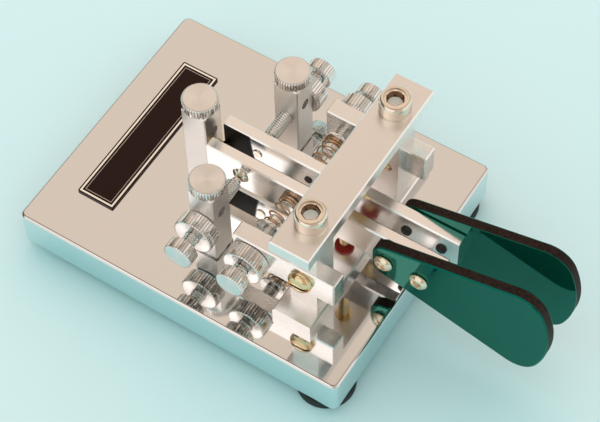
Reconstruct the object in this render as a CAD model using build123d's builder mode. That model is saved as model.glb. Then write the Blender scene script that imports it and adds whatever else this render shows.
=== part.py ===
"""Twin-lever Morse paddle key on a heavy plated base, for sending with an electronic keyer.

Millimetres. +Z is up, +X is the operator's right and +Y runs away from the operator.
The origin lies on the desk, at the centre of the key's whole footprint.
"""
from build123d import *
import os

# Base and feet
base_width = 80.0
base_length = 100.0
base_thickness = 12.0
base_corner_radius = 2.0
base_edge_radius = 0.9
foot_radius = 8.0
foot_height = 3.0
front_foot_inset = 7.6
rear_foot_inset = 12.0
foot_edge_chamfer = 0.5
nameplate_width = 51.0
nameplate_depth = 11.5
nameplate_thickness = 0.6
nameplate_setback = 35.0

# Pivot frame: a plate on the base, two pillars, a side rail on each pillar and a bridge
pivot_setforward = 30.5
frame_length = 60.4
frame_depth = 11.5
pivot_plate_thickness = 3.5
bridge_thickness = 4.0
pillar_size = 8.0
pillar_spacing = 40.0
bridge_height = 36.3
rail_thickness = 5.0
rail_height = 9.4
rail_length = 30.4
rail_lift = 10.9
rail_offset = 5.5
frame_chamfer = 0.35

# Levers and finger pieces
lever_thickness = 3.5
lever_height = 11.6
lever_spacing = 8.2
lever_mid_height = 14.5
lever_front_reach = 29.8
lever_rear_reach = 41.4
lever_chamfer = 0.4
finger_thickness = 3.0
finger_reach = 61.5
finger_start = 11.0
finger_corner_reach = 56.0
finger_root_half = 5.3
finger_tip_half = 17.2
finger_tip_fillet = 7.0
finger_root_fillet = 4.5
finger_screw_reach = (14.6, 24.9)

# Posts, contacts and springs
contact_arm = 30.9
spring_arm = 15.1
post_size = 7.5
post_spacing = 40.0
post_height = 27.5
post_chamfer = 0.3
common_post_gap = 1.5
wire_hole_radius = 1.55
wire_hole_height = 18.7
cap_radius = 4.9
cap_height = 3.4
cap_chamfer = 0.3
cap_crown = 1.0
binding_screw_radius = 1.5
binding_point_radius = 0.9
binding_point_rise = 0.4
contact_gap = 0.5
contact_head_radius = 2.5
contact_head_height = 1.2
rivet_radius = 1.4
rivet_tail = 0.3
adjuster_radius = 2.0
contact_tip_radius = 1.3
contact_tip_length = 1.2
knob_radius = 4.1
knob_length = 4.0
knob_socket = 3.0
spring_knob_gap = 1.8
contact_knob_gap = 3.05
locknut_radius = 5.7
locknut_thickness = 4.7
knurl_chamfer = 0.35
spring_wire_radius = 0.35
spring_coil_radius = 2.85
spring_turns = 5.5
spring_length = 9.8
seat_radius = 4.0
seat_thickness = 0.9
spring_nose_radius = 2.4
spring_nose_length = 3.6
spring_pin_length = 2.2
spring_pin_shank = 1.1

# Pivots and the lever stop
pivot_shaft_radius = 1.5
pivot_journal_radius = 1.0
pivot_bush_radius = 2.5
pivot_bush_depth = 2.7
pivot_washer_radius = 2.6
pivot_washer_thickness = 0.8
journal_length = 2.2
stop_drop = 2.6
stop_reach = 3.4
stop_root = 3.0

# Insulating bushes and screws
bush_flange_radius = 3.7
bush_flange_thickness = 0.8
bush_sleeve_radius = 3.0
bush_sleeve_length = 4.0
post_counterbore_radius = 4.6
post_counterbore_depth = 4.2
post_screw_head_radius = 3.5
post_screw_head_height = 2.4
post_screw_engagement = 7.5
m3_radius = 1.5
m4_radius = 2.0
m5_radius = 2.5
cap_screw_head_radius = 4.25
cap_screw_head_height = 4.7
cap_screw_socket = 4.0
cap_screw_engagement = 8.0
frame_screw_engagement = 6.0
frame_screw_head_radius = 4.6
rail_screw_head_radius = 3.4
rail_screw_head_height = 2.4
rail_screw_slot = 0.9
finger_screw_head_radius = 2.7
finger_screw_head_height = 1.5
finger_screw_tail = 0.8
foot_screw_head_radius = 3.1
foot_screw_head_height = 1.6
foot_screw_recess = 2.0
foot_screw_engagement = 7.0

# Clearances
running = 0.05
fitted = 0.02
bolt_clearance = 0.2
stop_gap = 0.05
screw_end_gap = 0.5

# Places that follow from the sizes above
base_y = (pivot_setforward + finger_reach - base_length / 2) / 2
front_foot_x = base_width / 2 - front_foot_inset
front_foot_y = base_y - base_length / 2 + front_foot_inset
rear_foot_x = base_width / 2 - rear_foot_inset
rear_foot_y = base_y + base_length / 2 - rear_foot_inset
base_top = foot_height + base_thickness
pivot_y = base_y - pivot_setforward
plate_top = base_top + pivot_plate_thickness
bridge_bottom = base_top + bridge_height - bridge_thickness
bridge_top = base_top + bridge_height
pillar_x = pillar_spacing / 2
rail_bottom = base_top + rail_lift
rail_screw_z = rail_bottom + rail_height / 2
rail_y = pivot_y + rail_offset
rail_outer_x = pillar_x + rail_thickness
rail_screw_end_x = pillar_x - pillar_size / 2 + screw_end_gap
lever_x = lever_spacing / 2
lever_inner_x = lever_x - lever_thickness / 2
lever_outer_x = lever_x + lever_thickness / 2
lever_z = base_top + lever_mid_height
finger_outer_x = lever_outer_x + finger_thickness
contact_y = pivot_y + contact_arm
spring_y = pivot_y + spring_arm
post_x = post_spacing / 2
post_outer_x = post_x + post_size / 2
post_top = base_top + post_height
post_foot = base_top + bush_flange_thickness
common_post_y = pivot_y + lever_rear_reach + common_post_gap + post_size / 2
wire_z = base_top + wire_hole_height
contact_tip_x = lever_outer_x + contact_head_height + contact_gap
seat_face_x = lever_outer_x + spring_length
locknut_gap = running
washer_top = plate_top + pivot_washer_thickness

sides = ((-1, "left"), (1, "right"))
feet = (
    (-front_foot_x, front_foot_y, "front_left"),
    (front_foot_x, front_foot_y, "front_right"),
    (-rear_foot_x, rear_foot_y, "rear_left"),
    (rear_foot_x, rear_foot_y, "rear_right"),
)
posts = ((-post_x, contact_y, "left"), (post_x, contact_y, "right"), (0.0, common_post_y, "common"))

os.makedirs("parts", exist_ok=True)


def save(part, name):
    """Label a finished piece and write it to its own file."""
    part.label = name
    export_step(part, f"parts/{name}.step")


def turned_x(side, y, z, steps, chamfer_ends=0.0):
    """A turned piece lying across the key: steps are (from x, to x, radius), outward."""
    with BuildPart() as piece:
        for x_from, x_to, radius in steps:
            with BuildSketch(Plane.YZ.offset(side * x_from)):
                with Locations((y, z)):
                    Circle(radius)
            extrude(amount=side * (x_to - x_from))
        if chamfer_ends > 0:
            rims = piece.edges().filter_by(GeomType.CIRCLE).group_by(SortBy.RADIUS)[-1]
            chamfer(rims, chamfer_ends)
    return piece.part


def turned_z(x, y, steps):
    """A turned piece standing upright: steps are (from z, to z, radius)."""
    with BuildPart() as piece:
        for z_from, z_to, radius in steps:
            with BuildSketch(Plane.XY.offset(z_from)):
                with Locations((x, y)):
                    Circle(radius)
            extrude(amount=z_to - z_from)
    return piece.part


def ring_x(side, y, z, x_from, x_to, outer, inner, rim_chamfer):
    """A bored disc lying across the key, such as a knurled nut, with its outer rims eased."""
    with BuildPart() as piece:
        with BuildSketch(Plane.YZ.offset(side * x_from)):
            with Locations((y, z)):
                Circle(outer)
                Circle(inner, mode=Mode.SUBTRACT)
        extrude(amount=side * (x_to - x_from))
        rims = piece.edges().filter_by(GeomType.CIRCLE).group_by(SortBy.RADIUS)[-1]
        chamfer(rims, rim_chamfer)
    return piece.part


# Base plate: the heavy slab, drilled from below for the feet, the pillars and the posts
with BuildPart() as base_plate:
    with BuildSketch(Plane.XY.offset(foot_height)):
        with Locations((0, base_y)):
            RectangleRounded(base_width, base_length, base_corner_radius)
    extrude(amount=base_thickness)
    fillet(base_plate.faces().sort_by(Axis.Z)[-1].edges(), base_edge_radius)
    fillet(base_plate.faces().sort_by(Axis.Z)[0].edges(), base_edge_radius)
    with BuildSketch(Plane.XY.offset(foot_height)):
        with Locations(*[(x, y) for x, y, corner in feet]):
            Circle(m4_radius + fitted)
    extrude(amount=foot_screw_engagement + screw_end_gap, mode=Mode.SUBTRACT)
    with BuildSketch(Plane.XY.offset(foot_height)):
        with Locations((-pillar_x, pivot_y), (pillar_x, pivot_y)):
            Circle(m5_radius + bolt_clearance)
    extrude(amount=base_thickness, mode=Mode.SUBTRACT)
    for side, hand in sides:
        with BuildSketch(Plane.XY.offset(foot_height)):
            with Locations((side * pillar_x, pivot_y)):
                Circle(frame_screw_head_radius + bolt_clearance)
        with BuildSketch(Plane.XY.offset(foot_height + frame_screw_head_radius - m5_radius)):
            with Locations((side * pillar_x, pivot_y)):
                Circle(m5_radius + bolt_clearance)
        loft(mode=Mode.SUBTRACT)
    with BuildSketch(Plane.XY.offset(foot_height)):
        with Locations((-post_x, contact_y), (post_x, contact_y)):
            Circle(bush_sleeve_radius + fitted)
        with Locations((0, common_post_y)):
            Circle(m4_radius + bolt_clearance)
    extrude(amount=base_thickness, mode=Mode.SUBTRACT)
    with BuildSketch(Plane.XY.offset(foot_height)):
        with Locations(*[(x, y) for x, y, where in posts]):
            Circle(post_counterbore_radius)
    extrude(amount=post_counterbore_depth, mode=Mode.SUBTRACT)
save(base_plate.part, "base_plate")

# Rubber feet: thick discs near the corners, the rear pair further in, each with a recess for its screw
for x, y, corner in feet:
    with BuildPart() as rubber_foot:
        with BuildSketch():
            with Locations((x, y)):
                Circle(foot_radius)
        extrude(amount=foot_height)
        chamfer(rubber_foot.edges().filter_by(GeomType.CIRCLE).sort_by(Axis.Z)[0], foot_edge_chamfer)
        with BuildSketch():
            with Locations((x, y)):
                Circle(foot_screw_head_radius + bolt_clearance)
        extrude(amount=foot_screw_recess, mode=Mode.SUBTRACT)
        with BuildSketch():
            with Locations((x, y)):
                Circle(m4_radius + bolt_clearance)
        extrude(amount=foot_height, mode=Mode.SUBTRACT)
    save(rubber_foot.part, f"rubber_foot_{corner}")

# Foot screws: pan heads sunk in the rubber, so that they never touch the desk
with BuildPart() as foot_screws:
    with BuildSketch(Plane.XY.offset(foot_screw_recess - foot_screw_head_height)):
        with Locations(*[(x, y) for x, y, corner in feet]):
            Circle(foot_screw_head_radius)
    extrude(amount=foot_screw_head_height)
    with BuildSketch(Plane.XY.offset(foot_screw_recess)):
        with Locations(*[(x, y) for x, y, corner in feet]):
            Circle(m4_radius)
    extrude(amount=foot_height - foot_screw_recess + foot_screw_engagement)
save(foot_screws.part, "foot_screws")

# Nameplate: a thin bare plate across the rear of the base
with BuildPart() as nameplate:
    with BuildSketch(Plane.XY.offset(base_top)):
        with Locations((0, base_y + nameplate_setback)):
            RectangleRounded(nameplate_width, nameplate_depth, 0.4)
    extrude(amount=nameplate_thickness)
save(nameplate.part, "nameplate")

# Pivot plate: the strip on the base that carries the lower pivots and both pillars
with BuildPart() as pivot_plate:
    with BuildSketch(Plane.XY.offset(base_top)):
        with Locations((0, pivot_y)):
            Rectangle(frame_length, frame_depth)
        with Locations((-pillar_x, pivot_y), (pillar_x, pivot_y)):
            Circle(m5_radius + bolt_clearance, mode=Mode.SUBTRACT)
        with Locations((-lever_x, pivot_y), (lever_x, pivot_y)):
            Circle(pivot_bush_radius + fitted, mode=Mode.SUBTRACT)
    extrude(amount=pivot_plate_thickness)
    chamfer(pivot_plate.faces().sort_by(Axis.Z)[-1].outer_wire().edges(), frame_chamfer)
save(pivot_plate.part, "pivot_plate")

# Pillars: square bars from the plate to the bridge, notched outside for the rails
for side, hand in sides:
    with BuildPart() as pillar:
        with BuildSketch(Plane.XY.offset(plate_top)):
            with Locations((side * pillar_x, pivot_y)):
                Rectangle(pillar_size, pillar_size)
        extrude(amount=bridge_bottom - plate_top)
        with BuildSketch(Plane.XY.offset(rail_bottom)):
            with Locations((side * (pillar_x + pillar_size / 2), pivot_y)):
                Rectangle(pillar_size, 2 * pillar_size)
        extrude(amount=rail_height, mode=Mode.SUBTRACT)
        with BuildSketch(Plane.XY.offset(plate_top)):
            with Locations((side * pillar_x, pivot_y)):
                Circle(m5_radius + fitted)
        extrude(amount=frame_screw_engagement, mode=Mode.SUBTRACT)
        with BuildSketch(Plane.XY.offset(bridge_bottom)):
            with Locations((side * pillar_x, pivot_y)):
                Circle(m5_radius + fitted)
        extrude(amount=-cap_screw_engagement, mode=Mode.SUBTRACT)
        with BuildSketch(Plane.YZ.offset(side * pillar_x)):
            with Locations((pivot_y, rail_screw_z)):
                Circle(m4_radius + fitted)
        extrude(amount=-side * pillar_size, mode=Mode.SUBTRACT)
    save(pillar.part, f"pillar_{hand}")

# Side rails: bars let into the pillars, tapped at the rear for the spring adjusters
for side, hand in sides:
    with BuildPart() as rail:
        with BuildSketch(Plane.XY.offset(rail_bottom)):
            with Locations((side * (pillar_x + rail_thickness / 2), rail_y)):
                Rectangle(rail_thickness, rail_length)
        extrude(amount=rail_height)
        chamfer(rail.edges(), frame_chamfer)
        with BuildSketch(Plane.YZ.offset(side * pillar_x)):
            with Locations((pivot_y, rail_screw_z)):
                Circle(m4_radius + bolt_clearance)
            with Locations((spring_y, lever_z)):
                Circle(adjuster_radius + running)
        extrude(amount=side * rail_thickness, mode=Mode.SUBTRACT)
    save(rail.part, f"rail_{hand}")

# Rail screws: slotted cheese heads that pull each rail into its pillar
with BuildPart() as rail_screws:
    for side, hand in sides:
        with BuildSketch(Plane.YZ.offset(side * rail_outer_x)):
            with Locations((pivot_y, rail_screw_z)):
                Circle(rail_screw_head_radius)
        extrude(amount=side * rail_screw_head_height)
        with BuildSketch(Plane.YZ.offset(side * (rail_screw_end_x))):
            with Locations((pivot_y, rail_screw_z)):
                Circle(m4_radius)
        extrude(amount=side * (rail_outer_x - rail_screw_end_x))
        with BuildSketch(Plane.YZ.offset(side * (rail_outer_x + rail_screw_head_height))):
            with Locations((pivot_y, rail_screw_z)):
                Rectangle(2 * rail_screw_head_radius, rail_screw_slot)
        extrude(amount=-side * rail_screw_head_height / 2, mode=Mode.SUBTRACT)
save(rail_screws.part, "rail_screws")

# Bridge: the flat bar on the pillars that holds the upper pivots
with BuildPart() as bridge:
    with BuildSketch(Plane.XY.offset(bridge_bottom)):
        with Locations((0, pivot_y)):
            Rectangle(frame_length, frame_depth)
        with Locations((-pillar_x, pivot_y), (pillar_x, pivot_y)):
            Circle(m5_radius + bolt_clearance, mode=Mode.SUBTRACT)
    extrude(amount=bridge_thickness)
    chamfer(bridge.faces().sort_by(Axis.Z)[-1].outer_wire().edges(), frame_chamfer)
    with BuildSketch(Plane.XY.offset(bridge_bottom)):
        with Locations((-lever_x, pivot_y), (lever_x, pivot_y)):
            Circle(pivot_bush_radius + fitted)
    extrude(amount=pivot_bush_depth, mode=Mode.SUBTRACT)
save(bridge.part, "bridge")

# Bridge screws: M5 socket cap screws down into the pillars
with BuildPart() as bridge_screws:
    with BuildSketch(Plane.XY.offset(bridge_top)):
        with Locations((-pillar_x, pivot_y), (pillar_x, pivot_y)):
            Circle(cap_screw_head_radius)
    extrude(amount=cap_screw_head_height)
    head_rims = bridge_screws.edges().filter_by(GeomType.CIRCLE).group_by(Axis.Z)[-1]
    chamfer(head_rims, knurl_chamfer)
    with BuildSketch(Plane.XY.offset(bridge_top + cap_screw_head_height)):
        with Locations((-pillar_x, pivot_y), (pillar_x, pivot_y)):
            RegularPolygon(cap_screw_socket / 2, 6, major_radius=False)
    extrude(amount=-cap_screw_head_height / 2, mode=Mode.SUBTRACT)
    with BuildSketch(Plane.XY.offset(bridge_top)):
        with Locations((-pillar_x, pivot_y), (pillar_x, pivot_y)):
            Circle(m5_radius)
    extrude(amount=-bridge_thickness - cap_screw_engagement + screw_end_gap)
save(bridge_screws.part, "bridge_screws")

# Frame screws: countersunk M5 screws up through the base and plate into the pillars
with BuildPart() as frame_screws:
    for side, hand in sides:
        with BuildSketch(Plane.XY.offset(foot_height + bolt_clearance)):
            with Locations((side * pillar_x, pivot_y)):
                Circle(frame_screw_head_radius)
        cone_top = foot_height + bolt_clearance + frame_screw_head_radius - m5_radius
        with BuildSketch(Plane.XY.offset(cone_top)):
            with Locations((side * pillar_x, pivot_y)):
                Circle(m5_radius)
        loft()
        with BuildSketch(Plane.XY.offset(cone_top)):
            with Locations((side * pillar_x, pivot_y)):
                Circle(m5_radius)
        extrude(amount=plate_top + frame_screw_engagement - screw_end_gap - cone_top)
save(frame_screws.part, "frame_screws")

# Pivot bushes: two pressed into the plate and two into the bridge
with BuildPart() as pivot_bushes:
    with BuildSketch(Plane.XY.offset(base_top)):
        with Locations((-lever_x, pivot_y), (lever_x, pivot_y)):
            Circle(pivot_bush_radius)
            Circle(pivot_journal_radius + running, mode=Mode.SUBTRACT)
    extrude(amount=pivot_plate_thickness)
    with BuildSketch(Plane.XY.offset(bridge_bottom)):
        with Locations((-lever_x, pivot_y), (lever_x, pivot_y)):
            Circle(pivot_bush_radius)
            Circle(pivot_journal_radius + running, mode=Mode.SUBTRACT)
    extrude(amount=pivot_bush_depth)
save(pivot_bushes.part, "pivot_bushes")

# Pivot washers: red fibre washers that each lever's shaft turns on
with BuildPart() as pivot_washers:
    with BuildSketch(Plane.XY.offset(plate_top)):
        with Locations((-lever_x, pivot_y), (lever_x, pivot_y)):
            Circle(pivot_washer_radius)
            Circle(pivot_journal_radius + bolt_clearance, mode=Mode.SUBTRACT)
    extrude(amount=pivot_washer_thickness)
save(pivot_washers.part, "pivot_washers")

# Pivot shafts: upright brass shafts through the levers, journalled at both ends
for side, hand in sides:
    shaft_steps = (
        (washer_top + fitted - journal_length, washer_top + fitted, pivot_journal_radius),
        (washer_top + fitted, bridge_bottom - running, pivot_shaft_radius),
        (bridge_bottom - running, bridge_bottom - running + journal_length, pivot_journal_radius),
    )
    save(turned_z(side * lever_x, pivot_y, shaft_steps), f"pivot_shaft_{hand}")

# Levers: flat bars on edge, drilled for the shaft, the finger piece, the contact and the spring
for side, hand in sides:
    with BuildPart() as lever:
        with BuildSketch(Plane.XY.offset(lever_z - lever_height / 2)):
            lever_mid_y = pivot_y + (lever_rear_reach - lever_front_reach) / 2
            with Locations((side * lever_x, lever_mid_y)):
                Rectangle(lever_thickness, lever_rear_reach + lever_front_reach)
        extrude(amount=lever_height)
        chamfer(lever.edges().filter_by(Axis.Y), lever_chamfer)
        with BuildSketch(Plane.XY.offset(lever_z - lever_height / 2)):
            with Locations((side * lever_x, pivot_y)):
                Circle(pivot_shaft_radius + fitted)
        extrude(amount=lever_height, mode=Mode.SUBTRACT)
        with BuildSketch(Plane.YZ.offset(side * lever_inner_x)):
            with Locations(*[(pivot_y - reach, lever_z) for reach in finger_screw_reach]):
                Circle(m3_radius + fitted)
            with Locations((contact_y, lever_z)):
                Circle(rivet_radius + fitted)
            with Locations((spring_y, lever_z)):
                Circle(spring_pin_shank + fitted)
        extrude(amount=side * lever_thickness, mode=Mode.SUBTRACT)
    save(lever.part, f"lever_{hand}")

# Finger pieces: flat plates on the outer faces, flaring to a broad rounded tip
for side, hand in sides:
    root_y = pivot_y - finger_start
    corner_y = pivot_y - finger_corner_reach
    tip_y = pivot_y - finger_reach
    with BuildPart() as finger_piece:
        with BuildSketch(Plane.YZ.offset(side * lever_outer_x)):
            with BuildLine():
                top = Line((root_y, lever_z + finger_root_half), (corner_y, lever_z + finger_tip_half))
                tip = ThreePointArc(top @ 1, (tip_y, lever_z), (corner_y, lever_z - finger_tip_half))
                bottom = Line(tip @ 1, (root_y, lever_z - finger_root_half))
                Line(bottom @ 1, top @ 0)
            make_face()
        extrude(amount=side * finger_thickness)
        across = finger_piece.edges().filter_by(Axis.X).group_by(Axis.Y)
        fillet(across[0], finger_tip_fillet)
        across = finger_piece.edges().filter_by(Axis.X).group_by(Axis.Y)
        fillet(across[-1], finger_root_fillet)
        chamfer(finger_piece.faces().sort_by(Axis.X)[-1 if side > 0 else 0].edges(), knurl_chamfer)
        with BuildSketch(Plane.YZ.offset(side * lever_outer_x)):
            with Locations(*[(pivot_y - reach, lever_z) for reach in finger_screw_reach]):
                Circle(m3_radius + bolt_clearance)
        extrude(amount=side * finger_thickness, mode=Mode.SUBTRACT)
    save(finger_piece.part, f"finger_piece_{hand}")

# Finger screws: pan heads outside, their ends just through the lever
for side, hand in sides:
    with BuildPart() as finger_screws:
        for reach in finger_screw_reach:
            with BuildSketch(Plane.YZ.offset(side * finger_outer_x)):
                with Locations((pivot_y - reach, lever_z)):
                    Circle(finger_screw_head_radius)
            extrude(amount=side * finger_screw_head_height)
            with BuildSketch(Plane.YZ.offset(side * (lever_inner_x - finger_screw_tail))):
                with Locations((pivot_y - reach, lever_z)):
                    Circle(m3_radius)
            extrude(amount=side * (finger_thickness + lever_thickness + finger_screw_tail))
    save(finger_screws.part, f"finger_screws_{hand}")

# Contact rivets: domed brass heads on the levers' outer faces
for side, hand in sides:
    dome_radius = (contact_head_radius**2 + contact_head_height**2) / (2 * contact_head_height)
    half_rise = contact_head_radius / 2
    with BuildPart() as lever_contact:
        with BuildSketch(Plane.YZ.offset(side * (lever_inner_x - rivet_tail))):
            with Locations((contact_y, lever_z)):
                Circle(rivet_radius)
        extrude(amount=side * (lever_thickness + rivet_tail))
        with BuildSketch(Plane.XY.offset(lever_z)):
            with BuildLine():
                face_x = side * lever_outer_x
                crown_x = side * (lever_outer_x + contact_head_height)
                mid_x = crown_x - side * (dome_radius - (dome_radius**2 - half_rise**2) ** 0.5)
                rise = ThreePointArc(
                    (crown_x, contact_y),
                    (mid_x, contact_y + half_rise),
                    (face_x, contact_y + contact_head_radius),
                )
                back = Line(rise @ 1, (face_x, contact_y))
                Line(back @ 1, rise @ 0)
            make_face()
        revolve(axis=Axis((0, contact_y, lever_z), (1, 0, 0)))
    save(lever_contact.part, f"lever_contact_{hand}")

# Spring pins: pegs riveted to the levers that centre the springs' inner ends
for side, hand in sides:
    pin_steps = (
        (lever_inner_x - rivet_tail, lever_outer_x, spring_pin_shank),
        (lever_outer_x, lever_outer_x + spring_pin_length, spring_nose_radius),
    )
    save(turned_x(side, spring_y, lever_z, pin_steps, 0.3), f"spring_pin_{hand}")

# Return springs: open coils that push the levers' rear ends inward
for side, hand in sides:
    coil_start_x = side * (lever_outer_x + spring_wire_radius + fitted)
    coil_height = spring_length - 2 * (spring_wire_radius + fitted)
    with BuildPart() as return_spring:
        with BuildLine():
            coil = Helix(
                pitch=coil_height / spring_turns,
                height=coil_height,
                radius=spring_coil_radius,
                center=(coil_start_x, spring_y, lever_z),
                direction=(side, 0, 0),
            )
        with BuildSketch(Plane(origin=coil @ 0, z_dir=coil % 0)):
            Circle(spring_wire_radius)
        sweep(path=coil, is_frenet=True)
    save(return_spring.part, f"return_spring_{hand}")

# Spring seats: flanged noses on the adjusters that carry the springs' outer ends
for side, hand in sides:
    seat_steps = (
        (seat_face_x - spring_nose_length, seat_face_x, spring_nose_radius),
        (seat_face_x, seat_face_x + seat_thickness, seat_radius),
    )
    save(turned_x(side, spring_y, lever_z, seat_steps), f"spring_seat_{hand}")

# Adjusters: a threaded rod, its knurled knob and its knurled lock nut, for springs and contacts
for side, hand in sides:
    rods = (
        ("spring", spring_y, seat_face_x + seat_thickness, rail_outer_x, spring_knob_gap),
        ("contact", contact_y, contact_tip_x + contact_tip_length, post_outer_x, contact_knob_gap),
    )
    for use, y, rod_start_x, carrier_face_x, knob_gap in rods:
        knob_inner_x = carrier_face_x + locknut_thickness + knob_gap
        rod_steps = ((rod_start_x, knob_inner_x + knob_socket - running, adjuster_radius),)
        save(turned_x(side, y, lever_z, rod_steps), f"{use}_screw_{hand}")
        with BuildPart() as knob:
            with BuildSketch(Plane.YZ.offset(side * knob_inner_x)):
                with Locations((y, lever_z)):
                    Circle(knob_radius)
            extrude(amount=side * knob_length)
            chamfer(knob.edges().filter_by(GeomType.CIRCLE), knurl_chamfer)
            with BuildSketch(Plane.YZ.offset(side * knob_inner_x)):
                with Locations((y, lever_z)):
                    Circle(adjuster_radius + fitted)
            extrude(amount=side * knob_socket, mode=Mode.SUBTRACT)
        save(knob.part, f"{use}_knob_{hand}")
        nut_from = carrier_face_x + locknut_gap
        nut_to = carrier_face_x + locknut_thickness
        nut_bore = adjuster_radius + running
        nut = ring_x(side, y, lever_z, nut_from, nut_to, locknut_radius, nut_bore, knurl_chamfer)
        save(nut, f"{use}_locknut_{hand}")

# Contact tips: bright buttons on the inner ends of the contact screws
for side, hand in sides:
    tip_steps = ((contact_tip_x, contact_tip_x + contact_tip_length, contact_tip_radius),)
    save(turned_x(side, contact_y, lever_z, tip_steps, 0.25), f"contact_tip_{hand}")

# Posts: square bars with a wire hole through them from front to back
for x, y, where in posts:
    foot_z = base_top if where == "common" else post_foot
    with BuildPart() as post:
        with BuildSketch(Plane.XY.offset(foot_z)):
            with Locations((x, y)):
                Rectangle(post_size, post_size)
        extrude(amount=post_top - foot_z)
        chamfer(post.edges().filter_by(Axis.Z), post_chamfer)
        chamfer(post.faces().sort_by(Axis.Z)[-1].edges(), post_chamfer)
        with BuildSketch(Plane.XZ.offset(-(y + post_size / 2))):
            with Locations((x, wire_z)):
                Circle(wire_hole_radius)
        extrude(amount=post_size, mode=Mode.SUBTRACT)
        with BuildSketch(Plane.XY.offset(wire_z)):
            with Locations((x, y)):
                Circle(binding_screw_radius + running)
        extrude(amount=post_top - wire_z, mode=Mode.SUBTRACT)
        with BuildSketch(Plane.XY.offset(foot_z)):
            with Locations((x, y)):
                Circle(m4_radius + fitted)
        extrude(amount=post_screw_engagement + screw_end_gap, mode=Mode.SUBTRACT)
        if where == "common":
            with BuildSketch(Plane.XZ.offset(-(y - post_size / 2))):
                with Locations((x, lever_z - stop_drop)):
                    Circle(lever_inner_x - stop_gap + fitted)
            extrude(amount=-stop_root, mode=Mode.SUBTRACT)
        else:
            with BuildSketch(Plane.YZ.offset(x - post_size / 2)):
                with Locations((y, lever_z)):
                    Circle(adjuster_radius + running)
            extrude(amount=post_size, mode=Mode.SUBTRACT)
    save(post.part, "common_post" if where == "common" else f"contact_post_{where}")

# Stop peg: a stub on the front of the common post that both levers rest against
with BuildPart() as stop_peg:
    with BuildSketch(Plane.XZ.offset(-(common_post_y - post_size / 2 + stop_root))):
        with Locations((0, lever_z - stop_drop)):
            Circle(lever_inner_x - stop_gap)
    extrude(amount=stop_root + stop_reach)
save(stop_peg.part, "stop_peg")

# Binding screws and their knurled caps, which clamp a wire in each post
for x, y, where in posts:
    point_z = wire_z - wire_hole_radius + binding_point_rise
    screw_steps = (
        (point_z, wire_z, binding_point_radius),
        (wire_z, post_top + cap_height - cap_crown, binding_screw_radius),
    )
    save(turned_z(x, y, screw_steps), f"binding_screw_{where}")
    with BuildPart() as binding_cap:
        with BuildSketch(Plane.XY.offset(post_top + running)):
            with Locations((x, y)):
                Circle(cap_radius)
        extrude(amount=cap_height - running)
        chamfer(binding_cap.edges().filter_by(GeomType.CIRCLE), cap_chamfer)
        with BuildSketch(Plane.XY.offset(post_top + running)):
            with Locations((x, y)):
                Circle(binding_screw_radius + fitted)
        extrude(amount=cap_height - cap_crown, mode=Mode.SUBTRACT)
    save(binding_cap.part, f"binding_cap_{where}")

# Post insulators: flanged nylon bushes above and below the base at the two contact posts
counterbore_top = foot_height + post_counterbore_depth
with BuildPart() as post_insulators:
    for side, hand in sides:
        with BuildSketch(Plane.XY.offset(base_top)):
            with Locations((side * post_x, contact_y)):
                Circle(bush_flange_radius)
        extrude(amount=bush_flange_thickness)
        with BuildSketch(Plane.XY.offset(base_top)):
            with Locations((side * post_x, contact_y)):
                Circle(bush_sleeve_radius)
        extrude(amount=-bush_sleeve_length + running)
        with BuildSketch(Plane.XY.offset(counterbore_top)):
            with Locations((side * post_x, contact_y)):
                Circle(post_counterbore_radius - bolt_clearance)
        extrude(amount=-bush_flange_thickness)
        with BuildSketch(Plane.XY.offset(counterbore_top)):
            with Locations((side * post_x, contact_y)):
                Circle(bush_sleeve_radius)
        extrude(amount=base_top - counterbore_top - bush_sleeve_length)
        with BuildSketch(Plane.XY.offset(foot_height)):
            with Locations((side * post_x, contact_y)):
                Circle(m4_radius + bolt_clearance)
        extrude(amount=base_thickness + bush_flange_thickness, mode=Mode.SUBTRACT)
save(post_insulators.part, "post_insulators")

# Post screws: pan-headed M4 screws up into the feet of the posts
with BuildPart() as post_screws:
    for x, y, where in posts:
        seat_z = counterbore_top if where == "common" else counterbore_top - bush_flange_thickness
        foot_z = base_top if where == "common" else post_foot
        with BuildSketch(Plane.XY.offset(seat_z)):
            with Locations((x, y)):
                Circle(post_screw_head_radius)
        extrude(amount=-post_screw_head_height)
        with BuildSketch(Plane.XY.offset(seat_z)):
            with Locations((x, y)):
                Circle(m4_radius)
        extrude(amount=foot_z + post_screw_engagement - seat_z)
save(post_screws.part, "post_screws")
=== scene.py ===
"""The finish of a twin-lever Morse key: plated base, bridge frame, levers, finger pieces and screws.

Metres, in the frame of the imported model: +Z up, +X to the operator's right, +Y away from them.
"""
import math

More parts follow.
